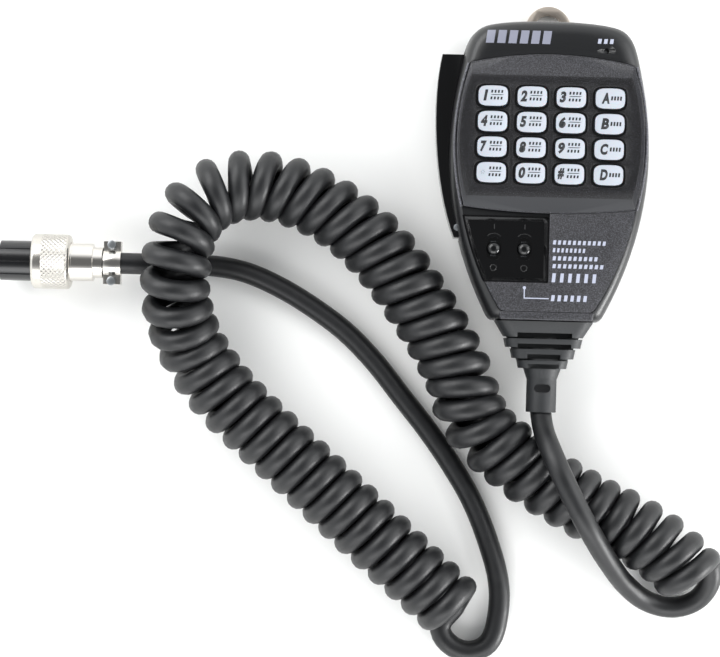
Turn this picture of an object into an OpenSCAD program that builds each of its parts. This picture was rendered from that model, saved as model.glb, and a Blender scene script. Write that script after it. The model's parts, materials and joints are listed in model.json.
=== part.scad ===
// Hand microphone with a sixteen-key tone keypad, a push-to-talk bar and a
// curly cord that ends in an eight-contact screw-ring plug.
// It lies on its back, keypad up, with the cord end towards -Y.

/* [Case] */
// Width of the case at its widest
case_w = 67.6; // [66:0.2:84]
// Length of the case from its top edge to its cord end
case_l = 101.1; // [98:0.5:124]
// Thickness of the case, back to front
case_h = 27; // [26:0.5:33]
// Width of the case at its cord end
foot_w = 38.2; // [36:0.5:46]
// Height of the joint between the back shell and the front shell
split_z = 13; // [12.5:0.5:14]
// Wall thickness of both shells
wall = 2; // [1.6:0.1:2.4]
// Gap drawn between two panels that meet in a visible seam
seam = 0.15; // [0.1:0.05:0.3]

/* [Keypad] */
// Width of one key cap
key_w = 9.8; // [8.5:0.1:11.6]
// Height of one key cap, along the case
key_l = 6.7; // [5.6:0.1:7.2]
// Distance between key columns
pitch_x = 13.05; // [12.5:0.05:13.5]
// Distance between key rows
pitch_y = 8.53; // [8.2:0.01:8.8]
// Clearance between a key cap and its window
key_gap = 0.25; // [0.15:0.05:0.35]
// How far a key goes down
key_travel = 0.7; // [0.4:0.1:0.9]
// How far a key cap stands above the keypad floor
key_proud = 1.9; // [1.2:0.1:2.6]

/* [Talk bar] */
// How far the bar stands out from the widest line of the case
bar_proud = 6; // [4:0.5:8]
// Length of the bar
bar_l = 61.8; // [56:0.2:66]
// Thickness of the bar, along the depth of the case
bar_h = 11; // [9:0.5:11.4]
// Radius of the bar's hinge pin
pin_r = 1.1; // [0.9:0.05:1.2]
// Radial running clearance on the pin
pin_fit = 0.06; // [0.03:0.01:0.1]

/* [Slide switches] */
// Diameter of a slide knob
knob_d = 3.7; // [3:0.1:4.2]
// Travel of a slide knob each way from the middle
knob_travel = 1.6; // [1:0.1:1.8]
// Width of the dish that a slide knob runs in
dish_w = 4.8; // [4.6:0.1:5.2]

/* [Cord] */
// Diameter of the cord
cord_d = 7; // [5.5:0.1:7.2]
// Outer diameter of the coiled stretch
coil_d = 23; // [18:0.5:24]

/* [Plug] */
// Outer diameter of the screw ring
ring_d = 18.6; // [18:0.1:22.4]
// Length of the screw ring
ring_l = 13; // [11:0.5:13]
// Diameter of the contact insert that enters the socket
nose_d = 13.6; // [12.5:0.1:13.8]
// Length of the contact insert in front of the ring
nose_l = 10.8; // [9:0.1:13]
// Radial running clearance between the ring and the plug body
ring_fit = 0.06; // [0.03:0.01:0.1]

/* [Hanger] */
// Outer diameter of the hanging eye
eye_d = 15.4; // [14:0.2:18.6]
// Hole diameter of the hanging eye
eye_hole = 9.6; // [8:0.2:9.8]
// Thickness of the hanger plate
eye_t = 2.4; // [1.6:0.1:2.8]

/* [Hidden] */
$fn = 48;

KEY_NAMES = [
    ["key_1", "key_2", "key_3", "key_a"],
    ["key_4", "key_5", "key_6", "key_b"],
    ["key_7", "key_8", "key_9", "key_c"],
    ["key_star", "key_0", "key_hash", "key_d"]
];

thin = 0.01;      // thickness of a slice that a hull joins
far = 60;         // reach of a cut that runs right out of the part
pin_seat = 0.02;  // radial gap of a screw or pin pressed into plastic
air = 0.3;        // gap between fixed and moving pieces

// Lengths along the case: y = 0 is the lower line of the keypad
half_w = case_w / 2;
tail_l = 38.1;
case_top = case_l - tail_l;
case_foot = -tail_l;
foot_half = foot_w / 2;

// Levels through the depth
seat_z = case_h - 3.8;
floor_z = case_h - 2.4;
ceiling_t = 3.1;
board_t = 1.6;
board_top = seat_z - ceiling_t;
board_z = board_top - board_t;
plate_t = 1.5;
plate_z = case_h - plate_t;
panel_z = case_h - 2.6;
panel_top = case_h - 0.3;

// A cubic curve between p and s, pulled by q and r
function bez(p, q, r, s, t) =
    pow(1 - t, 3) * p + 3 * pow(1 - t, 2) * t * q + 3 * (1 - t) * t * t * r + pow(t, 3) * s;
function curve(p, q, r, s, n) = [for (i = [0:n - 1]) bez(p, q, r, s, i / n)];
// A parabola from a to b whose middle is m
function bow(a, m, b, n) =
    let (c = 2 * m - (a + b) / 2)
    [for (i = [0:n - 1]) let (t = i / n) pow(1 - t, 2) * a + 2 * t * (1 - t) * c + t * t * b];

// Right half of the case outline, d inside its edge, from the middle of the
// top to the middle of the foot
function half_outline(d) =
    let (h = half_w - d, t = case_top - d, k = foot_half - d, f = case_foot + d)
    concat(
        curve([0, t], [8, t], [h - 17.8, t - 0.4], [h - 12.8, t - 1.5], 5),
        curve([h - 12.8, t - 1.5], [h - 7.3, t - 2.7], [h - 5.6, t - 6.5], [h - 4.2, t - 12.5], 9),
        curve([h - 4.2, t - 12.5], [h - 2.5, t - 20], [h, t - 31], [h, t - 45], 7),
        curve([h, t - 45], [h, 3], [h - 3.6, -16], [k + 1.1, f + 2.6], 12),
        curve([k + 1.1, f + 2.6], [k + 0.1, f + 0.5], [k - 0.6, f], [k - 2.2, f], 4),
        [[k - 2.2, f]]
    );
function mirrored(pts) = concat(pts, [for (i = [len(pts) - 1:-1:1]) [-pts[i].x, pts[i].y]]);
function outline(d) = mirrored(half_outline(d));

// Outline of the keypad bezel, d inside its seam, and of its sunken floor
function bezel_outline(d) =
    let (
        top = case_top - 15.2 - d,
        foot = -0.3 + d,
        a = [half_w - 6.5 - d, top],
        b = [half_w - 5.2 - d, foot]
    )
    concat(
        bow([-a.x, top], [0, top + 3.2], a, 12),
        bow(a, [half_w - 2.4 - d, (top + foot) / 2], b, 12),
        bow(b, [0, foot - 1.8], [-b.x, foot], 12),
        bow([-b.x, foot], [-(half_w - 2.4 - d), (top + foot) / 2], [-a.x, top], 12)
    );
floor_top = case_top - 19;
floor_foot = 3.4;
function floor_outline() =
    let (
        a = [half_w - 7, floor_top],
        b = [half_w - 6, floor_foot],
        m = [half_w - 3.3, (floor_top + floor_foot) / 2]
    )
    concat(bow(a, m, b, 12), [b], bow([-b.x, b.y], [-m.x, m.y], [-a.x, a.y], 12), [[-a.x, a.y]]);

// A pad with bowed sides and round corners, w by l
function pad(w, l, n) = [
    for (i = [0:n - 1])
        let (c = cos(360 * i / n), s = sin(360 * i / n))
        [w / 2 * sign(c) * pow(abs(c), 0.52), l / 2 * sign(s) * pow(abs(s), 0.52)]
];
// A rectangle with round corners, w by l
function soft_box(w, l, r, n) = [
    for (q = [0:3], i = [0:n])
        let (
            t = 90 * (q + i / n),
            sx = q == 0 || q == 3 ? 1 : -1,
            sy = q < 2 ? 1 : -1
        )
        [sx * (w / 2 - r) + r * cos(t), sy * (l / 2 - r) + r * sin(t)]
];

// Keypad
bottom_row = 11.2;
function key_at(row, col) = [(col - 1.5) * pitch_x, bottom_row + (3 - row) * pitch_y];
key_top = floor_z + key_proud;
flange_w = 0.5;
flange_t = 0.6;
key_foot = seat_z - air - flange_t;
key_bow = 24;
mat_z = board_top;
mat_t = key_foot - key_travel - air - mat_z;
pad_half = 1.5 * pitch_x + key_w / 2 + flange_w + 0.55;
pad_foot = bottom_row - key_l / 2 - flange_w - 0.45;
pad_top = bottom_row + 3 * pitch_y + key_l / 2 + flange_w + 0.45;

// Talk bar
bar_top = case_top - 11.8;
bar_foot = bar_top - bar_l;
bar_in = half_w - 5.6;
bar_z = split_z - 0.5 - bar_h / 2;
bar_swing = 3.4; // room behind the bar for its pressed end
tab_t = 1.4;  // inner tab that keeps the bar in its slot
tab_l = 6;
tab_y = bar_top - 22;
tab_drop = 1.6;
pin_y = bar_foot + 3.4;
pin_x = -(half_w - 3.5);
bar_edge = concat(
    curve([-(half_w + bar_proud - 3.2), bar_top], [-(half_w + bar_proud), bar_top - 15.2],
          [-(half_w + bar_proud - 1.2), bar_foot + 18.6], [-(half_w - 2.6), bar_foot], 16),
    [[-(half_w - 2.6), bar_foot]]
);
bar_reach = -min([for (p = bar_edge) p.x]);

// Slide switches
panel_top_y = -3.4;
panel_foot_y = -25.2;
knob_y = -14.2;
LOCK_X = -18.1;
MODE_X = -7.9;
dish_l = knob_d + 2 * knob_travel + 0.8;
dish_z = panel_z + 0.5;
stem_w = 1.4;
stem_foot = board_top + 3.4;
switch_w = 6;
switch_l = 10;
switch_top = stem_foot - air;

// Microphone capsule, behind the sound hole
sound_at = [half_w - 16, case_top - 10.5];
capsule_r = 4;
capsule_t = 5;
capsule_top = seat_z - air;
capsule_wall = 1.1;

// Screws
CASE_BOSSES = [
    [-(half_w - 12.3), case_top - 18.8], [half_w - 12.3, case_top - 18.8],
    [-(foot_half - 5.6), case_foot + 6.6], [foot_half - 5.6, case_foot + 6.6]
];
boss_r = 3;
head_r = 2.4;
head_t = 2;
shank_r = 1.15;
shank_gap = 0.2;
screw_sink = 1.6;
BOARD_SCREWS = [[-22, 2.5], [22, 2.5], [12, -25]];
clip_drop = 0.6; // how far the clip's feet reach below the cord's middle
CLIP_SCREWS = [[-5.6, case_foot + 6.6], [5.6, case_foot + 6.6]];

// Hanger
eye_y = case_top - 0.5;
eye_z = 0.3;
tongue_w = 11;
tongue_foot = eye_y - 15.6;
tongue_t = 1.6;
hanger_block = 3.2;
HANGER_SCREWS = [[0, tongue_foot + 2.6], [0, tongue_foot + 7.2]];

// Cord boot
cord_r = cord_d / 2;
bore_r = cord_r + 0.05;
boot_z = split_z;
boot_neck_r = 7;
boot_disc_r = 8.6;
boot_disc_t = 1.6;
boot_core_r = 6.4;
sleeve_r = cord_r + 1.6;
// Each flange: start, end, and its width and depth at either end
FLANGES = [
    [0, 5.4, 32.8, 22, 26.4, 18.6], [5.9, 8.9, 26.2, 18.2, 25, 17.4],
    [9.4, 12.6, 21.8, 16, 20.6, 15], [13.2, 15.9, 17.2, 13.6, 16.2, 12.8]
];
collar_foot = 19.7;
boot_l = 30.7;
boot_end = case_foot - boot_l;

// Where the case sits in the part's frame: the origin is midway between the
// case's sides, bar included, on the surface that it lies on
axis_x = (bar_reach - half_w) / 2;
axis_y = 0;
exit_y = axis_y + boot_end;

// Plug, measured from its tip
plug_tip = [-182.6, -22, ring_d / 2];
ring_start = nose_l;
ring_end = ring_start + ring_l;
ring_bore = ring_d / 2 - 1.35;
ring_lip = 3;
journal_r = 6.5;
flange_start = ring_start + 3.2;
flange_end = ring_end - ring_lip - air;
flange_r = ring_bore - 0.35;
body_r = 6.35;
body_end = ring_end + 7.7;
neck_r = 5.2;
neck_end = body_end + 3.2;
plug_l = neck_end + 6.2;
tail_r = 5.6;
contact_r = 0.9;
contact_ring = 4.2;
saddle_r = cord_r + 1.15;
strap_w = 14.6;
strap_screw_y = saddle_r + 1.55;

// Route of the cord between the case and its coil
MIC_LEAD = [
    [axis_x, exit_y + 3, boot_z], [axis_x, exit_y, boot_z],
    [3, -75, 18.5], [5, -81, 25], [8, -88, 29], [12, -96, 29.5], [17, -105, 28],
    [22, -113, 23.5], [27, -120, 18], [33, -127, 10.5], [41, -133, 4.5], [50, -135, 3.5],
    [58, -132, 5], [62, -125, 8], [60, -117, 12]
];
// Middle line of the coiled stretch
COIL = [
    [55, -123, 11.6], [46, -115, 11.6], [35, -108, 11.6], [22, -102, 11.6], [9, -95, 11.6],
    [-1, -89, 11.6], [-10, -82, 11.6], [-17, -76, 11.6], [-22, -68, 11.6], [-26, -57, 11.6],
    [-33, -44, 11.6], [-41, -32, 11.6], [-50, -20, 11.6], [-61, -9, 11.6], [-75, 0, 11.6],
    [-90, 5, 12], [-102, 5, 13.5], [-112, 1, 16.5], [-118, -6, 19.5], [-121, -14, 21.5],
    [-122, -23, 22], [-122, -33, 20], [-120, -42, 16.5], [-117, -49, 13.5], [-113, -56, 12],
    [-104, -67, 11.6], [-91, -79, 11.6], [-75, -93, 11.6], [-58, -108, 11.6], [-41, -123, 11.6],
    [-25, -137, 11.6]
];
// Route of the cord between the coil and the plug
PLUG_LEAD = [
    [-30, -143, 9], [-27, -149, 5], [-20, -152, 3.5], [-13, -149, 3.5], [-10, -140, 3.5],
    [-10, -128, 3.5], [-14, -114, 3.5], [-20, -100, 3.5], [-28, -87, 3.5], [-36, -76, 3.5],
    [-45, -65, 3.5], [-54, -54, 3.5], [-64, -44, 3.5], [-75, -36, 3.5], [-87, -29, 3.5],
    [-99, -24, 3.5], [-110, -22, 3.6], [-120, -22, 4.8], [-129, -22, 7],
    [plug_tip.x + plug_l, plug_tip.y, plug_tip.z],
    [plug_tip.x + neck_end, plug_tip.y, plug_tip.z]
];

// A tube of radius r through the points pts, with n sides
function direction(pts, i) =
    let (a = pts[max(i - 1, 0)], b = pts[min(i + 1, len(pts) - 1)]) (b - a) / norm(b - a);
function tube_ring(p, t, r, n) =
    let (s = cross(t, [0, 0, 1]) / norm(cross(t, [0, 0, 1])), u = cross(s, t))
    [for (k = [0:n - 1]) p + r * (cos(360 * k / n) * s + sin(360 * k / n) * u)];
module tube(pts, r, n) {
    rings = len(pts);
    points = [for (i = [0:rings - 1]) each tube_ring(pts[i], direction(pts, i), r, n)];
    sides = [
        for (i = [0:rings - 2], k = [0:n - 1])
            let (a = i * n + k, b = i * n + (k + 1) % n)
            [a, a + n, b + n, b]
    ];
    polyhedron(
        points = points,
        faces = concat([[for (k = [0:n - 1]) k]], sides, [[for (k = [n - 1:-1:0]) (rings - 1) * n + k]]),
        convexity = 8
    );
}

// Moves a piece of the case into the part's frame
module mic() {
    translate([axis_x, axis_y, 0])
        children();
}
// Lays a piece of the plug, drawn along +Z from its tip, along the plug's axis
module plug() {
    translate(plug_tip)
        rotate([0, 90, 0])
            children();
}
// A piece drawn on the XY plane, as a slab from z to z + h
module slab(z, h) {
    translate([0, 0, z])
        linear_extrude(h)
            children();
}
module slice(z, d) {
    slab(z, thin)
        polygon(outline(d));
}
module rod(at, z, h, r) {
    translate([at.x, at.y, z])
        cylinder(h = h, r = r);
}
module block(low, high) {
    translate(low)
        cube(high - low);
}
// Solid body of each shell before it is hollowed
module back_body() {
    hull() {
        slice(0, 6.4);
        slice(1, 4);
        slice(3.4, 1.7);
        slice(7, 0.5);
        slice(split_z - thin, 0);
    }
}
module front_body() {
    hull() {
        slice(split_z, 0);
        slice(case_h - 6, 0.35);
        slice(case_h - 3, 0.9);
        slice(case_h - 1.2, 1.9);
        slice(case_h - 0.35, 3.2);
        slice(case_h - thin, 5.2);
    }
}
// The slot that the talk bar swings in
module bar_slot() {
    block([-half_w - far, bar_foot - 0.8, bar_z - 0.4],
          [-bar_in + bar_swing, bar_top + 0.7, bar_z + bar_h + 0.4]);
}
// A hole for the talk bar's pin
module pin_hole() {
    rod([pin_x, pin_y], bar_z - 2.5, bar_h + 5.4, pin_r + pin_seat);
}
// The hole that the boot's neck passes through, with room for its inner disc
module boot_hole() {
    translate([0, case_foot, boot_z])
        rotate([-90, 0, 0]) {
            rod([0, 0], -1, wall + 2, boot_neck_r + pin_seat);
            rod([0, 0], wall, boot_disc_t + air, boot_disc_r + pin_seat);
        }
}

module rear_shell() {
    color("#232427")
    difference() {
        union() {
            difference() {
                back_body();
                slab(wall, split_z)
                    polygon(outline(wall + 1.6));
                slab(5, split_z)
                    polygon(outline(wall));
            }
            for (at = CASE_BOSSES)
                rod(at, wall, split_z - wall, boss_r);
            for (at = CLIP_SCREWS)
                rod(at, wall - thin, boot_z - clip_drop - wall + thin, 2);
            block([-9, tongue_foot - 2, wall - thin], [9, case_top - wall, wall + hanger_block]);
        }
        for (at = CASE_BOSSES) {
            rod(at, -1, screw_sink + head_t + 1, head_r + shank_gap);
            rod(at, 0, split_z + 1, shank_r + shank_gap);
        }
        for (at = CLIP_SCREWS)
            rod(at, 5, split_z, 0.9 + pin_seat);
        for (at = HANGER_SCREWS)
            rod(at, 1, hanger_block + 0.4, 1 + pin_seat);
        rod([0, eye_y], -1, eye_z + eye_t + 1.4, eye_d / 2 + 0.4);
        block([-tongue_w / 2 - 0.2, tongue_foot - 0.2, -1], [tongue_w / 2 + 0.2, eye_y, eye_z + tongue_t]);
        bar_slot();
        pin_hole();
        boot_hole();
    }
}

module front_shell() {
    color("#2a2b2e")
    difference() {
        union() {
            difference() {
                front_body();
                slab(split_z - 1, board_top - split_z + 1)
                    polygon(outline(wall));
            }
            for (at = CASE_BOSSES)
                rod(at, split_z, board_top - split_z + 1, boss_r);
        }
        slab(seat_z, far)
            polygon(bezel_outline(-seam));
        intersection() {
            slab(plate_z, far)
                polygon(outline(3.2 - seam));
            block([-half_w, case_foot + 0.5, plate_z - 1], [half_w, 3, case_h + 1]);
        }
        intersection() {
            slab(panel_z, far)
                polygon(outline(2.9 - seam));
            block([-half_w, panel_foot_y - seam, panel_z - 1], [seam, panel_top_y + seam, case_h + 1]);
        }
        block([-pad_half, pad_foot, split_z], [pad_half, pad_top, case_h]);
        block([LOCK_X - switch_w / 2 - air, knob_y - switch_l / 2 - air, split_z],
              [MODE_X + switch_w / 2 + air, knob_y + switch_l / 2 + air, case_h]);
        rod(sound_at, split_z - 1, capsule_top - split_z + 1, capsule_r + capsule_wall + pin_seat);
        rod(sound_at, capsule_top - 1, far, 0.7);
        translate([sound_at.x, sound_at.y, case_h - 0.9])
            cylinder(h = 1, r1 = 0.7, r2 = 1);
        for (at = CASE_BOSSES)
            rod(at, split_z - 1, 6, shank_r + pin_seat);
        for (at = BOARD_SCREWS)
            rod(at, board_top - 1, 3, 1 + pin_seat);
        bar_slot();
        pin_hole();
        boot_hole();
    }
}

module keypad_bezel() {
    color("#2b2e31")
    difference() {
        union() {
            difference() {
                slab(seat_z, case_h - 0.1 - seat_z)
                    polygon(bezel_outline(0));
                hull() {
                    slab(floor_z, thin)
                        polygon(floor_outline());
                    slab(case_h, thin)
                        polygon(bezel_outline(0.25));
                }
            }
            for (row = [0:3], col = [0:3])
                translate(key_at(row, col))
                    slab(floor_z - 0.5, 1)
                        polygon(pad(key_w + 2 * key_gap + 1.5, key_l + 2 * key_gap + 1.1, 28));
        }
        for (row = [0:3], col = [0:3])
            translate(key_at(row, col))
                slab(seat_z - 1, 5)
                    polygon(pad(key_w + 2 * key_gap, key_l + 2 * key_gap, 28));
    }
}

module lower_plate() {
    color("#3c3f42")
    difference() {
        intersection() {
            slab(plate_z, plate_t - 0.1)
                polygon(outline(3.2));
            block([-half_w, case_foot + 0.5 + seam, plate_z - 1], [half_w, 3, case_h + 1]);
        }
        slab(plate_z - 1, 4)
            polygon(bezel_outline(-seam));
        block([-half_w - 1, panel_foot_y - seam, plate_z - 1], [2 * seam, far, case_h + 1]);
    }
}

module switch_panel() {
    color("#0c0d0e")
    difference() {
        intersection() {
            slab(panel_z, panel_top - panel_z)
                polygon(outline(2.9));
            block([-half_w, panel_foot_y, panel_z - 1], [0, panel_top_y, case_h + 1]);
        }
        for (x = [LOCK_X, MODE_X])
            translate([x, knob_y]) {
                slab(dish_z, 4)
                    polygon(soft_box(dish_w, dish_l, dish_w / 2 - 0.1, 8));
                slab(panel_z - 1, 4)
                    square([stem_w + 2 * air, stem_w + 2 * knob_travel + 2 * air], center = true);
            }
    }
}

module key(row, col) {
    color("#dfe9f1")
    translate(key_at(row, col)) {
        intersection() {
            slab(key_foot, key_top - key_foot)
                polygon(pad(key_w, key_l, 32));
            translate([0, key_l, key_top - key_bow])
                rotate([90, 0, 0])
                    cylinder(h = 2 * key_l, r = key_bow, $fn = 96);
        }
        slab(key_foot, flange_t)
            square([key_w + 2 * flange_w, key_l + 2 * flange_w], center = true);
    }
}

module keypad_mat() {
    color("#b9c4cc")
    block([-pad_half + 0.4, pad_foot + 0.4, mat_z], [pad_half - 0.4, pad_top - 0.4, mat_z + mat_t]);
}

module main_board() {
    color("#2f6b3a")
    difference() {
        intersection() {
            slab(board_z, board_t)
                polygon(outline(6.5));
            block([-max(pad_half + 0.4, bar_in - 4.6), case_foot + 10.6, 0],
                  [pad_half + 0.4, pad_top - 0.3, case_h]);
        }
        for (at = BOARD_SCREWS)
            rod(at, board_z - 1, board_t + 2, 1.3);
    }
}

module tone_chip() {
    color("#17181a")
    block([-4, 8, board_z - 2.6], [5, 26, board_z]);
}

module board_screws() {
    color("#b8bcc0")
    for (at = BOARD_SCREWS) {
        rod(at, board_z - 1.6, 1.6, 1.9);
        rod(at, board_z, board_t + 1.8, 1);
    }
}

module slide_switch(x) {
    color("#a9adb2")
    block([x - switch_w / 2, knob_y - switch_l / 2, board_top],
          [x + switch_w / 2, knob_y + switch_l / 2, switch_top]);
}

module slide_knob(x) {
    color("#141517")
    translate([x, knob_y, 0]) {
        rod([0, 0], dish_z + 0.15, panel_top - dish_z - 0.35, knob_d / 2);
        block([-stem_w / 2, -stem_w / 2, stem_foot], [stem_w / 2, stem_w / 2, dish_z + 0.2]);
    }
}

module mic_capsule() {
    color("#c2c5c8")
    rod(sound_at, capsule_top - capsule_t, capsule_t - 0.2, capsule_r);
}

module capsule_boot() {
    color("#1c1d1f")
    difference() {
        rod(sound_at, capsule_top - capsule_t - 1, capsule_t + 1, capsule_r + capsule_wall);
        rod(sound_at, capsule_top - capsule_t, capsule_t + 1, capsule_r + pin_seat);
        rod(sound_at, capsule_top - capsule_t - 2, 3, 1.6);
    }
}

module talk_bar() {
    color("#101113")
    difference() {
        union() {
            slab(bar_z, bar_h)
                polygon(concat(bar_edge, [[-bar_in, bar_foot], [-bar_in, bar_top]]));
            block([-bar_in - tab_t, tab_y, bar_z - tab_drop], [-bar_in, tab_y + tab_l, bar_z + 1]);
        }
        rod([pin_x, pin_y], bar_z - 5, bar_h + 10, pin_r + pin_fit);
    }
}

module bar_pin() {
    color("#c9ccd0")
    rod([pin_x, pin_y], bar_z - 2.5, bar_h + 5.4, pin_r);
}

module talk_switch() {
    color("#2b2c2e")
    union() {
        block([-bar_in + 3.6, 20, board_z - 7], [-bar_in + 8.6, 28, board_z]);
        translate([-bar_in + 2.3, 24, bar_z + bar_h / 2])
            rotate([0, 90, 0])
                cylinder(h = 1.5, r = 1);
    }
}

module hanger() {
    color("#b7ada2")
    difference() {
        union() {
            rod([0, eye_y], eye_z, eye_t, eye_d / 2);
            block([-tongue_w / 2, tongue_foot, eye_z], [tongue_w / 2, eye_y - eye_hole / 2 - 0.8, eye_z + tongue_t]);
        }
        rod([0, eye_y], eye_z - 1, eye_t + 2, eye_hole / 2);
        for (at = HANGER_SCREWS)
            rod(at, -1, 6, 1.2);
    }
}

module hanger_screws() {
    color("#c9ccd0")
    for (at = HANGER_SCREWS)
        rod(at, eye_z, hanger_block + 0.8, 1);
}

module case_screws() {
    color("#c9ccd0")
    for (at = CASE_BOSSES) {
        rod(at, screw_sink, head_t, head_r);
        rod(at, screw_sink + head_t, split_z + 4.6 - screw_sink - head_t, shank_r);
    }
}

// A flange of the boot, drawn along +Z
module boot_flange(f) {
    hull() {
        slab(f[0], thin)
            polygon(soft_box(f[2], f[3], 4.5, 5));
        slab(f[1] - thin, thin)
            polygon(soft_box(f[4], f[5], 4.5, 5));
    }
}
module cord_boot() {
    color("#2c2d2f")
    translate([0, case_foot, boot_z])
        rotate([90, 0, 0])
            difference() {
                union() {
                    for (f = FLANGES)
                        boot_flange(f);
                    rod([0, 0], -wall, FLANGES[3][1] + wall, boot_core_r);
                    rod([0, 0], -wall, wall, boot_neck_r);
                    rod([0, 0], -wall - boot_disc_t, boot_disc_t, boot_disc_r);
                    translate([0, 0, FLANGES[3][1]])
                        cylinder(h = collar_foot - FLANGES[3][1], r1 = boot_core_r, r2 = sleeve_r);
                    rod([0, 0], collar_foot, boot_l - collar_foot, sleeve_r);
                }
                rod([0, 0], -far, 2 * far, bore_r);
            }
}

module cord_tail() {
    color("#1b1c1e")
    translate([0, boot_end + 3, boot_z])
        rotate([-90, 0, 0])
            cylinder(h = boot_l + 6, r = cord_r);
}

module cord_clip() {
    color("#8d9196")
    difference() {
        block([-8.2, case_foot + 4.9, boot_z - clip_drop], [8.2, case_foot + 8.3, boot_z + bore_r + 1]);
        translate([0, case_foot, boot_z])
            rotate([-90, 0, 0])
                cylinder(h = 20, r = bore_r);
        for (at = CLIP_SCREWS)
            rod(at, 0, case_h, 1.1);
    }
}

module clip_screws() {
    color("#c9ccd0")
    for (at = CLIP_SCREWS) {
        rod(at, boot_z + bore_r + 1, 1.1, 1.9);
        rod(at, 5.5, boot_z + bore_r - 4.5, 0.9);
    }
}

module cord_mic_lead() {
    color("#1b1c1e")
    tube(MIC_LEAD, cord_r, 10);
}

module cord_coil() {
    color("#1b1c1e")
    tube(COIL, coil_d / 2, 12);
}

module cord_plug_lead() {
    color("#1b1c1e")
    tube(PLUG_LEAD, cord_r, 10);
}

// Centres of the eight contacts: one in the middle and seven round it
CONTACTS = concat([[0, 0]], [for (i = [0:6]) contact_ring * [cos(360 * i / 7), sin(360 * i / 7)]]);

module plug_insert() {
    color("#0e0f10")
    plug()
    difference() {
        union() {
            rod([0, 0], 0, nose_l, nose_d / 2);
            rod([0, 0], nose_l, flange_start - nose_l, nose_d / 2 - 0.2);
            rod([0, 0], flange_start, 8, tail_r);
        }
        for (at = CONTACTS)
            rod(at, -1, flange_start + 10, contact_r + pin_seat);
    }
}

module plug_contacts() {
    color("#c8a24a")
    plug()
    for (at = CONTACTS)
        difference() {
            rod(at, 0.4, flange_start + 10, contact_r);
            rod(at, 0, 8, 0.55);
        }
}

module plug_body() {
    color("#c4c8cc")
    plug()
    difference() {
        union() {
            rod([0, 0], flange_start, flange_end - flange_start, flange_r);
            rod([0, 0], flange_end, ring_end + 0.5 - flange_end, journal_r);
            rod([0, 0], ring_end + 0.5, body_end - ring_end - 0.5, body_r);
            rod([0, 0], body_end, neck_end - body_end, neck_r);
            intersection() {
                rod([0, 0], neck_end, plug_l - neck_end, saddle_r);
                block([0.2, -far, 0], [far, far, far]);
            }
            block([0.2, -strap_w / 2, neck_end], [2.4, strap_w / 2, plug_l]);
        }
        rod([0, 0], flange_start - 1, body_end - 1 - flange_start, tail_r + pin_seat);
        rod([0, 0], 0, far, bore_r);
        for (s = [-1, 1])
            translate([-far, s * strap_screw_y, (neck_end + plug_l) / 2])
                rotate([0, 90, 0])
                    cylinder(h = 2 * far, r = 0.8 + pin_seat);
    }
}

module coupling_ring() {
    color("#b9b6ae")
    plug()
    difference() {
        union() {
            translate([0, 0, ring_start])
                cylinder(h = 0.8, r1 = ring_d / 2 - 0.8, r2 = ring_d / 2);
            rod([0, 0], ring_start + 0.8, ring_l - 1.6, ring_d / 2);
            translate([0, 0, ring_end - 0.8])
                cylinder(h = 0.8, r1 = ring_d / 2, r2 = ring_d / 2 - 0.8);
        }
        rod([0, 0], ring_start - 1, ring_l - ring_lip + 1, ring_bore);
        rod([0, 0], ring_start, far, journal_r + ring_fit);
    }
}

module plug_strap() {
    color("#c4c8cc")
    plug()
    difference() {
        union() {
            intersection() {
                rod([0, 0], neck_end + 0.3, plug_l - neck_end - 0.3, saddle_r);
                block([-far, -far, 0], [-0.2, far, far]);
            }
            block([-2.4, -strap_w / 2, neck_end + 0.3], [-0.2, strap_w / 2, plug_l]);
        }
        rod([0, 0], 0, far, bore_r);
        for (s = [-1, 1])
            translate([-far, s * strap_screw_y, (neck_end + plug_l) / 2])
                rotate([0, 90, 0])
                    cylinder(h = 2 * far, r = 0.9);
    }
}

module strap_screws() {
    color("#d6d9dc")
    plug()
    for (s = [-1, 1])
        translate([0, s * strap_screw_y, (neck_end + plug_l) / 2])
            rotate([0, 90, 0]) {
                rod([0, 0], -2.4, 4.6, 0.8);
                rod([0, 0], -3.9, 1.5, 1.45);
            }
}

mic() rear_shell();
mic() front_shell();
mic() keypad_bezel();
mic() lower_plate();
mic() switch_panel();
for (row = [0:3], col = [0:3])
    mic() key(row, col);
mic() keypad_mat();
mic() main_board();
mic() tone_chip();
mic() board_screws();
mic() slide_switch(LOCK_X);  // lock_switch
mic() slide_switch(MODE_X);  // mode_switch
mic() slide_knob(LOCK_X);  // lock_knob
mic() slide_knob(MODE_X);  // mode_knob
mic() mic_capsule();
mic() capsule_boot();
mic() talk_bar();
mic() bar_pin();
mic() talk_switch();
mic() hanger();
mic() hanger_screws();
mic() case_screws();
mic() cord_boot();
mic() cord_tail();
mic() cord_clip();
mic() clip_screws();
cord_mic_lead();
cord_coil();
cord_plug_lead();
plug_insert();
plug_contacts();
plug_body();
coupling_ring();
plug_strap();
strap_screws();
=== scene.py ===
import json
import math

import bpy
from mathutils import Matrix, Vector
from mathutils.geometry import interpolate_bezier

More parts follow.
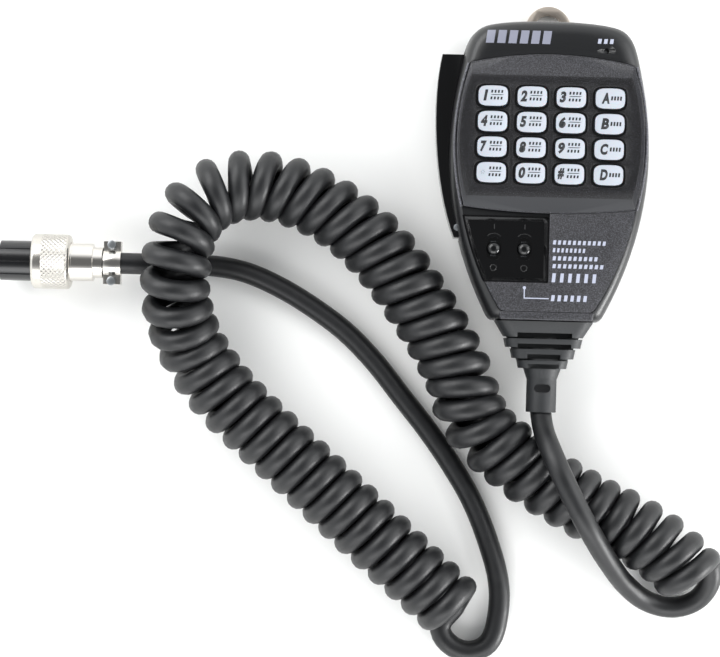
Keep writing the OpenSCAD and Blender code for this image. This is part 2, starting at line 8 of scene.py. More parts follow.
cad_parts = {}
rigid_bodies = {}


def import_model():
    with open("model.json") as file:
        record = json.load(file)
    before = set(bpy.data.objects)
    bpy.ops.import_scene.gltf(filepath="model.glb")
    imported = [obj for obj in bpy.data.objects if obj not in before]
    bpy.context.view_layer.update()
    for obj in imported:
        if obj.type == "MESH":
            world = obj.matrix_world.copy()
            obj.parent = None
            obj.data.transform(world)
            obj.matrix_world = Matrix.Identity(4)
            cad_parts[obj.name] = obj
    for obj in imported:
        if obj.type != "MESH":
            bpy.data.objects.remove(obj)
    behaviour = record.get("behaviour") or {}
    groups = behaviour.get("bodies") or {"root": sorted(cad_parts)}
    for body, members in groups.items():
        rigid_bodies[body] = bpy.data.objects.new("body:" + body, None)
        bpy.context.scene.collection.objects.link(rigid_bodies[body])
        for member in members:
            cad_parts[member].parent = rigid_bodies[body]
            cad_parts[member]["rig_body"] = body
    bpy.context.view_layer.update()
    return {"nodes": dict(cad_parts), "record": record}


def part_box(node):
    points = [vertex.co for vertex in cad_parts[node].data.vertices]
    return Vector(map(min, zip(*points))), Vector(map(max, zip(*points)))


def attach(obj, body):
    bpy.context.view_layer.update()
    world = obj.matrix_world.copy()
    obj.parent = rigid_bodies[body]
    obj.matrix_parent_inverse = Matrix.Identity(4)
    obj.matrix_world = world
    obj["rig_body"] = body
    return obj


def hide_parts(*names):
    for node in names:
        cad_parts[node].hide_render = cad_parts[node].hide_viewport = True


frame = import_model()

MM = 0.001

# ---------------------------------------------------------------- camera

lens = bpy.data.cameras.new("camera")
lens.sensor_width = 36
lens.lens = 115.95
lens.clip_start = 0.01
camera = bpy.data.objects.new("camera", lens)
bpy.context.scene.collection.objects.link(camera)
camera.location = (-0.0598, -0.0421, 0.8)
camera.rotation_euler = (0, 0, math.radians(1.5))
bpy.context.scene.camera = camera
bpy.context.scene.view_settings.view_transform = "Standard"

# ---------------------------------------------------------------- materials


def linear(code):
    """An sRGB hex colour as linear RGBA."""
    parts = [int(code[i:i + 2], 16) / 255 for i in (1, 3, 5)]
    return [c / 12.92 if c <= 0.04045 else ((c + 0.055) / 1.055) ** 2.4 for c in parts] + [1]


def add(tree, kind, values=None, **settings):
    """Adds a node, with its settings and its unlinked sockets' values."""
    node = tree.nodes.new(kind)
    for key, value in settings.items():
        setattr(node, key, value)
    for key, value in (values or {}).items():
        node.inputs[key].default_value = value
    return node


def surface(name, colour, roughness, metallic=0.0, **sockets):
    """A new material with its shader's constants set."""
    material = bpy.data.materials.new(name)
    material.use_nodes = True
    shader = material.node_tree.nodes["Principled BSDF"]
    shader.inputs["Base Color"].default_value = linear(colour)
    shader.inputs["Roughness"].default_value = roughness
    shader.inputs["Metallic"].default_value = metallic
    for key, value in sockets.items():
        shader.inputs[key.replace("_", " ")].default_value = value
    return material


def grain(material, size, depth, roughness=None, colours=None, spread=(0.38, 0.66)):
    """Gives a material a fine moulded grain, size and depth in mm: a bump, and a range of roughness
    and of colour."""
    tree = material.node_tree
    shader = tree.nodes["Principled BSDF"]
    where = add(tree, "ShaderNodeTexCoord")
    noise = add(tree, "ShaderNodeTexNoise", {"Scale": 1000 / size, "Detail": 3.0, "Roughness": 0.6})
    tree.links.new(where.outputs["Object"], noise.inputs["Vector"])
    bump = add(tree, "ShaderNodeBump", {"Strength": 1.0, "Distance": depth * MM})
    tree.links.new(noise.outputs["Fac"], bump.inputs["Height"])
    tree.links.new(bump.outputs["Normal"], shader.inputs["Normal"])
    if roughness:
        change = add(tree, "ShaderNodeMapRange", {"From Min": 0.3, "From Max": 0.7,
                                                  "To Min": roughness[0], "To Max": roughness[1]})
        tree.links.new(noise.outputs["Fac"], change.inputs["Value"])
        tree.links.new(change.outputs["Result"], shader.inputs["Roughness"])
    if colours:
        ramp = add(tree, "ShaderNodeValToRGB")
        ramp.color_ramp.elements[0].position = spread[0]
        ramp.color_ramp.elements[1].position = spread[1]
        ramp.color_ramp.elements[0].color = linear(colours[0])
        ramp.color_ramp.elements[1].color = linear(colours[1])
        tree.links.new(noise.outputs["Fac"], ramp.inputs["Fac"])
        tree.links.new(ramp.outputs["Color"], shader.inputs["Base Color"])
    return material


# Satin injection-moulded ABS of the case: near black, with a soft sheen on its rounded edges
case_plastic = grain(surface("ABS_satin_black", "#0e0f11", 0.36, IOR=1.53), 0.5, 0.003, (0.32, 0.4))
# Spark-eroded ABS of the lower plate and the keypad's upper band: grey with a fine pale grain
textured_plastic = grain(surface("ABS_spark_eroded_grey", "#3a3b3e", 0.55, IOR=1.53), 0.3, 0.016,
                         (0.42, 0.58), ("#161618", "#505056"), (0.44, 0.7))
# Spark-eroded ABS of the keypad's floor: black with a scatter of pale sparkles
floor_plastic = grain(surface("ABS_spark_eroded_black", "#131315", 0.5, IOR=1.53), 0.28, 0.009,
                      (0.34, 0.5), ("#040405", "#4b4a52"), (0.52, 0.74))
# The same grain, painted paler on the thin ridges beside the keypad: a painted highlight where light catches
# the ridges
ridge_plastic_painted_highlight = grain(surface("ABS_spark_eroded_painted_highlight", "#4a4b50", 0.5, IOR=1.53), 0.3, 0.016,
                      (0.42, 0.58), ("#37373b", "#7a7a82"), (0.44, 0.68))
# Satin ABS of the slope below the keypad: plain mid grey
slope_plastic = surface("ABS_satin_grey", "#2c2d30", 0.45, IOR=1.53)
# Polished ABS of the talk bar, switch panel and key rims: deep black with sharp reflections
gloss_black = surface("ABS_polished_black", "#060607", 0.12, IOR=1.53)
# Moulded silicone of the keys: cool white, slightly translucent and matte
key_silicone = grain(surface("silicone_cool_white", "#adb2ba", 0.4, IOR=1.42, Subsurface_Weight=0.1,
                             Subsurface_Scale=0.0006), 0.3, 0.002)
# Silicone sheet under the keys: dull translucent grey
mat_rubber = surface("silicone_grey", "#3a3d40", 0.6, IOR=1.42)
# Solder-masked fibreglass board: green under a glossy lacquer
board = surface("fibreglass_solder_mask", "#12432a", 0.35, IOR=1.5)
# Moulded epoxy of switches and chips: dull black
component_black = surface("epoxy_moulded_black", "#1b1c1e", 0.55, IOR=1.55)
# Zinc-plated steel of the screws: bluish grey metal
zinc_steel = surface("steel_zinc_plated", "#a9adb0", 0.34, 1.0)
# Acetal of the sliding knobs: black with a polished dome
knob_plastic = surface("acetal_polished_black", "#08090a", 0.1, IOR=1.48)
# Drawn aluminium of the microphone's can: pale satin metal
aluminium_can = surface("aluminium_drawn", "#cfd2d4", 0.3, 1.0)
# Soft PVC of the strain relief: matte dark grey with a faint skin texture
boot_rubber = grain(surface("PVC_soft_matte", "#1d1f21", 0.55, IOR=1.52), 0.5, 0.012, (0.48, 0.62))
# Polyurethane jacket of the cord: satin charcoal with broad soft highlights
cord_rubber = grain(surface("polyurethane_jacket_satin", "#0f1012", 0.44, IOR=1.5), 2.5, 0.02, (0.4, 0.5))
# Nickel plate on turned brass, for the hanger: warm grey metal
nickel_plate = surface("nickel_plate_on_brass", "#cfc4b8", 0.34, 1.0)
# Chrome plate on the plug's body: mirror-bright
chrome_plate = surface("chrome_plate_on_brass", "#dcd8d2", 0.16, 1.0)
# Moulded phenolic of the plug's insert: black, semi-gloss
insert_plastic = surface("phenolic_black", "#0b0c0e", 0.25, IOR=1.55)
# Gold flash on the contacts: yellow metal
gold_contact = surface("gold_flash", "#d8b25a", 0.22, 1.0)
# Pad-printed epoxy ink of the key legends: flat blue-black
key_ink = surface("epoxy_ink_blue_black", "#0d0f14", 0.55, IOR=1.5)
# Pad-printed epoxy ink of the case: flat silver-white
case_ink = surface("epoxy_ink_silver_white", "#a4a8b8", 0.5, IOR=1.5)
# Pad-printed metallic ink of the badge: dull silver
badge_ink = surface("epoxy_ink_dull_silver", "#7e808e", 0.45, IOR=1.5)


def knurled(material, axis, pitch, depth, start, end):
    """Rolls a diamond knurl into a turned metal between two places along X, in mm. The axis is its
    y, its z and the radius of the knurled face."""
    tree = material.node_tree
    link = tree.links.new

    def sum_of(kind, a, b):
        node = add(tree, "ShaderNodeMath", operation=kind)
        for socket, value in zip(node.inputs, (a, b)):
            if hasattr(value, "links"):
                link(value, socket)
            elif value is not None:
                socket.default_value = value
        return node.outputs[0]

    where = add(tree, "ShaderNodeTexCoord")
    split = add(tree, "ShaderNodeSeparateXYZ")
    link(where.outputs["Object"], split.inputs[0])
    across = sum_of("SUBTRACT", split.outputs["Y"], axis[0] * MM)
    high = sum_of("SUBTRACT", split.outputs["Z"], axis[1] * MM)
    turn = sum_of("MULTIPLY", sum_of("ARCTAN2", across, high), axis[2])
    along = sum_of("MULTIPLY", split.outputs["X"], 1000.0)
    teeth = []
    for lean in (1.0, -1.0):
        slanted = sum_of("ADD", turn, sum_of("MULTIPLY", along, lean))
        teeth.append(sum_of("PINGPONG", slanted, pitch))
    height = sum_of("MINIMUM", teeth[0], teeth[1])
    inside = sum_of("MULTIPLY", sum_of("GREATER_THAN", along, start), sum_of("LESS_THAN", along, end))
    bump = add(tree, "ShaderNodeBump", {"Strength": 1.0, "Distance": depth * MM / pitch})
    link(sum_of("MULTIPLY", height, inside), bump.inputs["Height"])
    link(bump.outputs["Normal"], tree.nodes["Principled BSDF"].inputs["Normal"])
    return material


PLUG_Y, PLUG_Z, RING_R = -22, 9.3, 9.3

# Nickel plate on the plug's screw ring: bright, with a rolled diamond knurl behind its smooth collar
ring_plate = knurled(surface("nickel_plate_knurled", "#cdc9c2", 0.26, 1.0), (PLUG_Y, PLUG_Z, RING_R),
                     0.8, 0.3, -168.2, -159.9)

MATERIALS = {
    "case_plastic": case_plastic, "textured_plastic": textured_plastic, "gloss_black": gloss_black,
    "key_silicone": key_silicone, "mat_rubber": mat_rubber, "board": board,
    "component_black": component_black, "zinc_steel": zinc_steel, "knob_plastic": knob_plastic,
    "aluminium_can": aluminium_can, "boot_rubber": boot_rubber, "cord_rubber": cord_rubber,
    "nickel_plate": nickel_plate, "chrome_plate": chrome_plate, "insert_plastic": insert_plastic,
    "gold_contact": gold_contact,
}

NODE_SLOTS = {row["node"]: row["material_slot"] for row in frame["record"]["subparts"]}


def coat(piece, material):
    """Gives a piece its one material."""
    piece.data.materials.clear()
    piece.data.materials.append(material)


def finish_with(piece, slot):
    """Gives a piece the material of one of the record's slots."""
    coat(piece, MATERIALS[slot])
    return piece


for name, node in frame["nodes"].items():
    finish_with(node, NODE_SLOTS[name])

# ---------------------------------------------------------------- cord

# Sizes and places in mm, in the object's own frame
CORD_D = 7.25
COIL_R = 8.5  # from the middle of the coil to the middle of the cord
PITCH = 7.42
COIL_RISE = 0.4
STEPS_PER_TURN = 32

MIC_LEAD = [(2.228, -65.8, 13), (2.228, -68.8, 13), (3, -75, 18.5), (5, -81, 25), (8, -88, 29),
            (12, -96, 29.5), (17, -105, 28), (22, -113, 23.5), (27, -120, 18), (33, -127, 10.5),
            (41, -133, 4.5), (50, -135, 3.5), (58, -132, 5), (62, -125, 8)]
COIL_AXIS = [(55, -123, 11.6), (46, -115, 11.6), (35, -108, 11.6), (22, -102, 11.6), (9, -95, 11.6),
             (-1, -89, 11.6), (-10, -82, 11.6), (-17, -76, 11.6), (-22, -68, 11.6), (-26, -57, 11.6),
             (-33, -44, 11.6), (-41, -32, 11.6), (-50, -20, 11.6), (-61, -9, 11.6), (-75, 0, 11.6),
             (-90, 5, 12), (-102, 5, 13.5), (-112, 1, 16.5), (-118, -6, 19.5), (-121, -14, 21.5),
             (-122, -23, 22), (-122, -33, 20), (-120, -42, 16.5), (-117, -49, 13.5), (-113, -56, 12),
             (-104, -67, 11.6), (-91, -79, 11.6), (-75, -93, 11.6), (-58, -108, 11.6),
             (-41, -123, 11.6), (-25, -137, 11.6)]
PLUG_LEAD = [(-29.5, -143.5, 3.5), (-27, -149, 3.5), (-20, -152, 3.5), (-13, -149, 3.5),
             (-10, -140, 3.5), (-10, -128, 3.5), (-14, -114, 3.5), (-20, -100, 3.5), (-28, -87, 3.5),
             (-36, -76, 3.5), (-45, -65, 3.5), (-54, -54, 3.5), (-64, -44, 3.5), (-75, -36, 3.5),
             (-87, -29, 3.5), (-99, -24, 3.5), (-110, -22, 3.6), (-120, -22, 4.8), (-129, -22, 7),
             (-141.7, -22, 9.3), (-147.9, -22, 9.3)]


def through(points, step):
    """Points about one step apart on the smooth line through the given ones."""
    points = [Vector(p) for p in points]
    line = []
    for i in range(len(points) - 1):
        a, b = points[i], points[i + 1]
        span = (b - a).length
        before_a = points[i - 1] if i else a - (b - a)
        after_b = points[i + 2] if i + 2 < len(points) else b + (b - a)
        lean_a = (b - before_a).normalized() * span / 3
        lean_b = (after_b - a).normalized() * span / 3
        count = max(2, round(span / step) + 1)
        line += interpolate_bezier(a, a + lean_a, b - lean_b, b, count)[:-1]
    return line + [points[-1]]


def distances(line):
    """How far along the line each of its points is."""
    total = [0.0]
    for a, b in zip(line, line[1:]):
        total.append(total[-1] + (b - a).length)
    return total


def smoothstep(low, high, value):
    """Eases from 0 at low to 1 at high."""
    t = min(1, max(0, (value - low) / (high - low)))
    return t * t * (3 - 2 * t)


def coil(axis):
    """The cord's own line where it is wound: a left-handed helix on the axis. Its turns open where
    the coil bends, and lean with the weight of the cord."""
    line = [p + Vector((0, 0, COIL_RISE)) for p in through(axis, 0.25)]
    run = distances(line)
    last = len(line) - 1
    ahead = [(line[min(i + 8, last)] - line[max(i - 8, 0)]).normalized() for i in range(len(line))]
    rates = []
    for i in range(len(line)):
        a, b = max(i - 12, 0), min(i + 12, last)
        bend = ahead[a].angle(ahead[b]) / (run[b] - run[a])
        loose = 1 + 0.03 * math.sin(run[i] / 19) + 0.02 * math.sin(run[i] / 7.3 + 1)
        open_at_bend = (CORD_D + 0.1) / max(0.74, 1 - 0.5 * COIL_R * bend)
        rates.append(2 * math.pi / max(PITCH * loose, open_at_bend))
    turned = [0.0]
    for i in range(last):
        turned.append(turned[-1] + rates[i] * (run[i + 1] - run[i]))
    whole = (round(turned[-1] / (2 * math.pi) - 0.75) + 0.75) * 2 * math.pi
    wound, step, due = [], 2 * math.pi / STEPS_PER_TURN, 0.0
    for i in range(len(line)):
        turn = turned[i] * whole / turned[-1]
        if turn + 1e-6 < due and i < last:
            continue
        due = turn + step
        side = Vector((0, 0, 1)).cross(ahead[i]).normalized()
        up = ahead[i].cross(side)
        angle = math.pi - turn
        lean = 0.12 - 0.17 * smoothstep(200, 240, run[i]) - 0.05 * smoothstep(250, 300, run[i])
        lean -= 0.08 * smoothstep(110, 60, run[i])
        radius = COIL_R * (1 + 0.012 * math.sin(run[i] / 11))
        wound.append(line[i] + side * radius * math.cos(angle) + up * radius * math.sin(angle)
                     + ahead[i] * lean * radius * math.cos(angle))
    return wound


winding = coil(COIL_AXIS)
lead_in = through(MIC_LEAD + [winding[0], winding[1]], 1.5)[:-1]
lead_out = through([winding[-2], winding[-1]] + PLUG_LEAD, 1.5)
keep = distances(lead_in)[-1] - (winding[1] - winding[0]).length * 0.5
cord_line = [p * MM for p, at in zip(lead_in, distances(lead_in)) if at < keep] + [p * MM for p in winding]
start_out = distances(lead_out)
first = (winding[-1] - winding[-2]).length * 1.5
cord_line += [p * MM for p, at in zip(lead_out, start_out) if at > first]

shape = bpy.data.curves.new("cord", "CURVE")
shape.dimensions = "3D"
shape.bevel_depth = CORD_D / 2 * MM
shape.bevel_resolution = 6
shape.use_fill_caps = True
spline = shape.splines.new("POLY")
spline.points.add(len(cord_line) - 1)
for point, place in zip(spline.points, cord_line):
    point.co = (*place, 1)
spline.use_smooth = True
cord = bpy.data.objects.new("cord", shape)
bpy.context.scene.collection.objects.link(cord)
finish_with(cord, "cord_rubber")
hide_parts("cord_mic_lead", "cord_coil", "cord_plug_lead")
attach(cord, "case")

# ---------------------------------------------------------------- pieces made from the design's own


def only(*pieces):
    """Selects these pieces alone, the first of them active."""
    bpy.ops.object.select_all(action="DESELECT")
    for piece in pieces:
        piece.select_set(True)
    bpy.context.view_layer.objects.active = pieces[0]


def own_copy(piece, name):
    """A separate copy of a piece, with its own mesh."""
    twin = piece.copy()
    twin.data = piece.data.copy()
    twin.name = twin.data.name = name
    twin.parent = None
    for key in list(twin.keys()):
        del twin[key]
    bpy.context.scene.collection.objects.link(twin)
    return twin


def round_edges(piece, width, segments):
    """Rounds the active piece's sharp edges, width in mm."""
    rounding = piece.modifiers.new("rounding", "BEVEL")
    rounding.width = width * MM
    rounding.segments = segments
    rounding.limit_method = "ANGLE"
    rounding.angle_limit = math.radians(30)
    rounding.use_clamp_overlap = True
    bpy.ops.object.modifier_apply(modifier="rounding")


def dressed(name, node, body, bevel=0.0, segments=2, smooth=30):
    """A copy of a node, merged, with its sharp edges rounded, that is shown in its place. Sizes in mm."""
    piece = own_copy(frame["nodes"][node], name)
    only(piece)
    bpy.ops.object.mode_set(mode="EDIT")
    bpy.ops.mesh.select_all(action="SELECT")
    bpy.ops.mesh.remove_doubles(threshold=1e-6)
    bpy.ops.mesh.normals_make_consistent(inside=False)
    bpy.ops.mesh.dissolve_limited(angle_limit=math.radians(0.6))
    bpy.ops.object.mode_set(mode="OBJECT")
    if bevel:
        round_edges(piece, bevel, segments)
    bpy.ops.object.shade_smooth_by_angle(angle=math.radians(smooth))
    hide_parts(node)
    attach(piece, body)
    return finish_with(piece, NODE_SLOTS[node])


BODIES = {name: node["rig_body"] for name, node in frame["nodes"].items()}

# ---------------------------------------------------------------- shaping tools

# The case's places, in mm
AXIS_X = 2.228  # its own middle line
CASE_TOP = 63
CASE_FOOT = -38.1
CASE_HALF = 33.8  # half of its width
FOOT_HALF = 19.1  # half of its width at the foot
FACE_Z = 26.9  # the top of the cap and of the lower plate
KEY_FLOOR = 24.6


def box(name, low, high, shift=AXIS_X):
    """A box between two corners in mm, to be shaped. They are measured from the case's own middle
    line unless shift is 0."""
    middle = [(a + b) / 2 * MM for a, b in zip(low, high)]
    middle[0] += shift * MM
    bpy.ops.mesh.primitive_cube_add(size=1, location=middle, scale=[(b - a) * MM for a, b in zip(low, high)])
    bpy.ops.object.transform_apply(location=True, rotation=True, scale=True)
    piece = bpy.context.object
    piece.name = piece.data.name = name
    return piece


def pick(piece, test, kind="FACE"):
    """Opens a piece in edit mode with the faces, edges or vertices selected that pass the test,
    which takes a middle in mm and a direction."""
    only(piece)
    bpy.ops.object.mode_set(mode="EDIT")
    bpy.ops.mesh.select_mode(type=kind)
    bpy.ops.mesh.select_all(action="DESELECT")
    bpy.ops.object.mode_set(mode="OBJECT")
    mesh = piece.data
    if kind == "FACE":
        for face in mesh.polygons:
            face.select = test(face.center / MM, face.normal)
    elif kind == "EDGE":
        for edge in mesh.edges:
            a, b = (mesh.vertices[i].co for i in edge.vertices)
            edge.select = test((a + b) / 2 / MM, (b - a).normalized())
    else:
        for vertex in mesh.vertices:
            vertex.select = test(vertex.co / MM, vertex.normal)
    bpy.ops.object.mode_set(mode="EDIT")


def cut(piece, tool, operation="DIFFERENCE", careful=False):
    """Cuts a tool's shape out of a piece, or keeps what both share, and removes the tool."""
    only(piece)
    joint = piece.modifiers.new("cut", "BOOLEAN")
    joint.operation = operation
    joint.solver = "EXACT"
    joint.object = tool
    joint.use_self = careful
    bpy.ops.object.modifier_apply(modifier="cut")
    bpy.data.objects.remove(tool)


def soften(piece, width, segments=2):
    """Rounds a piece's sharp edges, width in mm, and smooths its shading."""
    only(piece)
    round_edges(piece, width, segments)
    bpy.ops.object.shade_smooth_by_angle(angle=math.radians(35))


def oblong(name, middle, width, length, depth, shift=AXIS_X, along="Y"):
    """A rod with round ends stretched along Y or X, to be shaped or to cut with. Sizes in mm."""
    at = [c * MM for c in middle]
    at[0] += shift * MM
    bpy.ops.mesh.primitive_cylinder_add(vertices=40, radius=width / 2 * MM, depth=depth * MM, location=at)
    bpy.ops.object.transform_apply(location=True, rotation=True, scale=True)
    piece = bpy.context.object
    piece.name = piece.data.name = name
    spare = (length - width) / 2 * MM
    way = 1 if along == "Y" else 0
    for side in (1, -1):
        pick(piece, lambda p, n: (p[way] * MM - at[way]) * side > 1e-7, "VERT")
        bpy.ops.transform.translate(value=[spare * side * (i == way) for i in range(3)])
        bpy.ops.object.mode_set(mode="OBJECT")
    return piece


# ---------------------------------------------------------------- shells, plates and small parts

ROUNDING = {
    "rear_shell": 0.5, "lower_plate": 0.15, "bar_pin": 0.1, "hanger": 0.4, "hanger_screws": 0.1,
    "case_screws": 0.1, "plug_contacts": 0.1, "plug_strap": 0.25, "strap_screws": 0.25, "keypad_mat": 0.1,
}
made = {name: dressed(name + "_piece", name, BODIES[name], size) for name, size in ROUNDING.items()}
made["talk_bar"] = dressed("talk_bar_piece", "talk_bar", "talk_bar", 1.1, 4)
for name in ("lock_knob", "mode_knob"):
    made[name] = dressed(name + "_piece", name, BODIES[name], 0.3, 3)

# Front shell, with the shallow dimple round its sound hole
shell = dressed("front_shell_piece", "front_shell", "case", 0.4, 3)
cut(shell, oblong("dimple", (17.8, 52.5, FACE_Z + 0.1), 1.5, 6.2, 0.8, along="X"))
bpy.ops.object.shade_smooth_by_angle(angle=math.radians(35))

# Keypad frame: sparkling floor, polished rims round the keys, textured bands and a plain lower slope
bezel = dressed("keypad_bezel_piece", "keypad_bezel", "case", 0.18)
for extra in (floor_plastic, slope_plastic, gloss_black):
    bezel.data.materials.append(extra)
for face in bezel.data.polygons:
    x, y, z = face.center / MM
    if KEY_FLOOR + 0.03 < z < KEY_FLOOR + 0.6 and abs(x - AXIS_X) < 27 and 6 < y < 42:
        face.material_index = 3
    elif z < KEY_FLOOR + 0.05:
        face.material_index = 1
    elif y < 4.5:
        face.material_index = 2


def bow_x(y):
    """Half width of the keypad frame's bowed side at y, in mm."""
    low, high, side, middle = -0.3, 47.8, (28.6, 27.3), 31.4
    t = (y - low) / (high - low)
    pull = 2 * middle - (side[0] + side[1]) / 2
    return (1 - t) ** 2 * side[0] + 2 * t * (1 - t) * pull + t * t * side[1]


def strip(name, points, radius, material):
    """A thin rounded strip along the points, in mm, drawn as a line and made a mesh."""
    line = bpy.data.curves.new(name, "CURVE")
    line.dimensions = "3D"
    line.bevel_depth = radius * MM
    line.bevel_resolution = 4
    line.use_fill_caps = True
    run = line.splines.new("POLY")
    run.points.add(len(points) - 1)
    for point, (x, y, z) in zip(run.points, points):
        point.co = ((x + AXIS_X) * MM, y * MM, z * MM, 1)
    piece = bpy.data.objects.new(name, line)
    bpy.context.scene.collection.objects.link(piece)
    only(piece)
    bpy.ops.object.convert(target="MESH")
    piece = bpy.context.object
    bpy.ops.object.shade_smooth_by_angle(angle=math.radians(50))
    coat(piece, material)
    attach(piece, "case")


# The side ridges take the paler grain, a painted highlight along their crests
for side, word in ((-1, "left"), (1, "right")):
    strip("side_ridge_" + word, [(side * (bow_x(y) + 0.7), y, 25.95 + 0.3 * abs((y - 23) / 24) ** 2)
                                 for y in [-0.5 + 1.6 * i for i in range(31)]],
          0.42, ridge_plastic_painted_highlight)

# The plate's end, turned down over the foot of the case
lip = box("lower_plate_lip", (-15.9, CASE_FOOT + 0.35, 23.6), (15.9, CASE_FOOT + 3.2, FACE_Z - 0.02))
pick(lip, lambda p, n: n.y < -0.9)
bpy.ops.transform.resize(value=(0.965, 1, 1))
bpy.ops.object.mode_set(mode="OBJECT")
soften(lip, 0.5, 3)
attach(lip, "case")
finish_with(lip, "textured_plastic")

# ---------------------------------------------------------------- switch panel


def case_edge(y, d):
    """Half width of the case at y, d inside its outline, in mm."""
    half = CASE_HALF - d
    a, b, c, e = ((half, CASE_TOP - d - 45), (half, 3), (half - 3.6, -16),
                  (FOOT_HALF - d + 1.1, CASE_FOOT + d + 2.6))
    low, high = 0.0, 1.0

    def at(u, i):
        """A place on the curve that the case's side follows, from its widest part to its foot."""
        v = 1 - u
        return v ** 3 * a[i] + 3 * v ** 2 * u * b[i] + 3 * v * u * u * c[i] + u ** 3 * e[i]

    for _ in range(40):
        u = (low + high) / 2
        low, high = (u, high) if at(u, 1) > y else (low, u)
    return at(low, 0)


PANEL_TOP, PANEL_FOOT, PANEL_REACH = -3.4, -25.2, 30
PANEL_FACE = 25.7
KNOBS = {"lock": -18.1, "mode": -7.9}
KNOB_Y = -14.2
SEAT_Z = 25.55

panel = box("switch_panel_piece", (-PANEL_REACH, PANEL_FOOT, 24.4), (0, PANEL_TOP, PANEL_FACE + 1.15))
pick(panel, lambda p, d: abs(d.y) > 0.9, "EDGE")
bpy.ops.mesh.subdivide(number_cuts=7)
bpy.ops.object.mode_set(mode="OBJECT")
rows = sorted({round(v.co.y / MM, 3) for v in panel.data.vertices})
for row in rows:
    pick(panel, lambda p, n: p.x < -20 and abs(p.y - row) < 0.01, "VERT")
    bpy.ops.transform.translate(value=((PANEL_REACH - case_edge(row, 3.0)) * MM, 0, 0))
    bpy.ops.object.mode_set(mode="OBJECT")
for corner, radius, segments in ((PANEL_TOP, 2.2, 8), (PANEL_FOOT, 0.9, 5)):
    pick(panel, lambda p, d: abs(d.z) > 0.9 and p.x > 0 and abs(p.y - corner) < 0.1, "EDGE")
    bpy.ops.mesh.bevel(offset=radius * MM, segments=segments)
    bpy.ops.object.mode_set(mode="OBJECT")
pick(panel, lambda p, n: n.z > 0.9)
bpy.ops.mesh.dissolve_faces()
bpy.ops.mesh.inset(thickness=0.45 * MM)
bpy.ops.mesh.inset(thickness=0.9 * MM, depth=-1.15 * MM)
bpy.ops.object.mode_set(mode="OBJECT")
for x in KNOBS.values():
    cut(panel, oblong("dish", (x, KNOB_Y, SEAT_Z + 0.85), 4.8, 7.7, 3.0))
    cut(panel, box("stem_slot", (x - 1, -16.8, 24), (x + 1, -11.6, 25.5)))
soften(panel, 0.22, 3)
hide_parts("switch_panel")
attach(panel, "case")
finish_with(panel, "gloss_black")

# The knobs' domed tops, and the raised marks at either end of their travel
for word, x in KNOBS.items():
    bpy.ops.mesh.primitive_uv_sphere_add(segments=40, ring_count=20, radius=2.2 * MM,
                                         location=((x + AXIS_X) * MM, KNOB_Y * MM, (SEAT_Z + 0.05) * MM))
    bpy.ops.object.transform_apply(location=True, rotation=True, scale=True)
    dome = bpy.context.object
    dome.name = dome.data.name = word + "_knob_dome"
    pick(dome, lambda p, n: True)
    bpy.ops.mesh.bisect(plane_co=(0, 0, SEAT_Z * MM), plane_no=(0, 0, -1), clear_outer=True, use_fill=True)
    bpy.ops.mesh.select_all(action="SELECT")
    bpy.ops.transform.resize(value=(1, 1, 0.72), center_override=(0, 0, SEAT_Z * MM))
    bpy.ops.object.mode_set(mode="OBJECT")
    bpy.ops.object.shade_smooth_by_angle(angle=math.radians(40))
    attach(dome, word + "_knob")
    finish_with(dome, "knob_plastic")
    arc = [(x + 2.9 * math.sin(a), -12.0 + 2.9 * math.cos(a), PANEL_FACE)
           for a in [math.radians(-50 + 5 * i) for i in range(21)]]
    loop = [(x + math.sin(a), -20.6 + math.cos(a), PANEL_FACE)
            for a in [math.radians(12 * i) for i in range(31)]]
    strip("panel_arc_" + word, arc, 0.14, gloss_black)
    strip("panel_on_" + word, [(x, -7.6, PANEL_FACE), (x, -6.0, PANEL_FACE)], 0.2, gloss_black)
    strip("panel_off_" + word, loop, 0.2, gloss_black)

# ---------------------------------------------------------------- printed marks

SLANT = 0.22  # how far a mark leans, for its height
PRINT_T = 0.02


def fitted(piece, low, high):
    """Moves and sizes a flat mark, 1 mm thick or so, into a box in mm in the case's own place."""
    corners = [v.co for v in piece.data.vertices]
    lo = Vector([min(c[i] for c in corners) for i in range(3)])
    hi = Vector([max(c[i] for c in corners) for i in range(3)])
    low = Vector(low) * MM + Vector((AXIS_X * MM, 0, 0))
    high = Vector(high) * MM + Vector((AXIS_X * MM, 0, 0))
    piece.scale = [(b - a) / (d - c) for a, b, c, d in zip(low, high, lo, hi)]
    piece.location = [a - c * s for a, c, s in zip(low, lo, piece.scale)]
    only(piece)
    bpy.ops.object.transform_apply(location=True, rotation=True, scale=True)
    return piece


mark = box("mark", (0, 0, 0), (1, 1, 1), 0)
pick(mark, lambda p, n: n.y > 0.9)
bpy.ops.transform.translate(value=(SLANT * MM, 0, 0))
bpy.ops.object.mode_set(mode="OBJECT")


def marks(x, y, width, height, count, z, gap=0.28):
    """A row of small slanted marks, in place of a printed word: from x, centred on y, in mm."""
    step = width / count
    return [fitted(own_copy(mark, "mark"), (x + i * step, y - height / 2, z - 1.2),
                   (x + (i + 1) * step - gap, y + height / 2, z + 1.2)) for i in range(count)]


def printed(name, parts, surface_piece, ink, body):
    """Joins the marks and trims them to the surface that they are printed on."""
    only(*parts)
    if len(parts) > 1:
        bpy.ops.object.join()
    piece = parts[0]
    piece.name = piece.data.name = name
    under = own_copy(surface_piece, "under")
    only(under)
    bpy.ops.object.mode_set(mode="EDIT")
    bpy.ops.mesh.select_all(action="SELECT")
    bpy.ops.transform.translate(value=(0, 0, PRINT_T * MM))
    bpy.ops.object.mode_set(mode="OBJECT")
    cut(piece, under, "INTERSECT", careful=len(surface_piece.data.vertices) < 3000)
    coat(piece, ink)
    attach(piece, body)


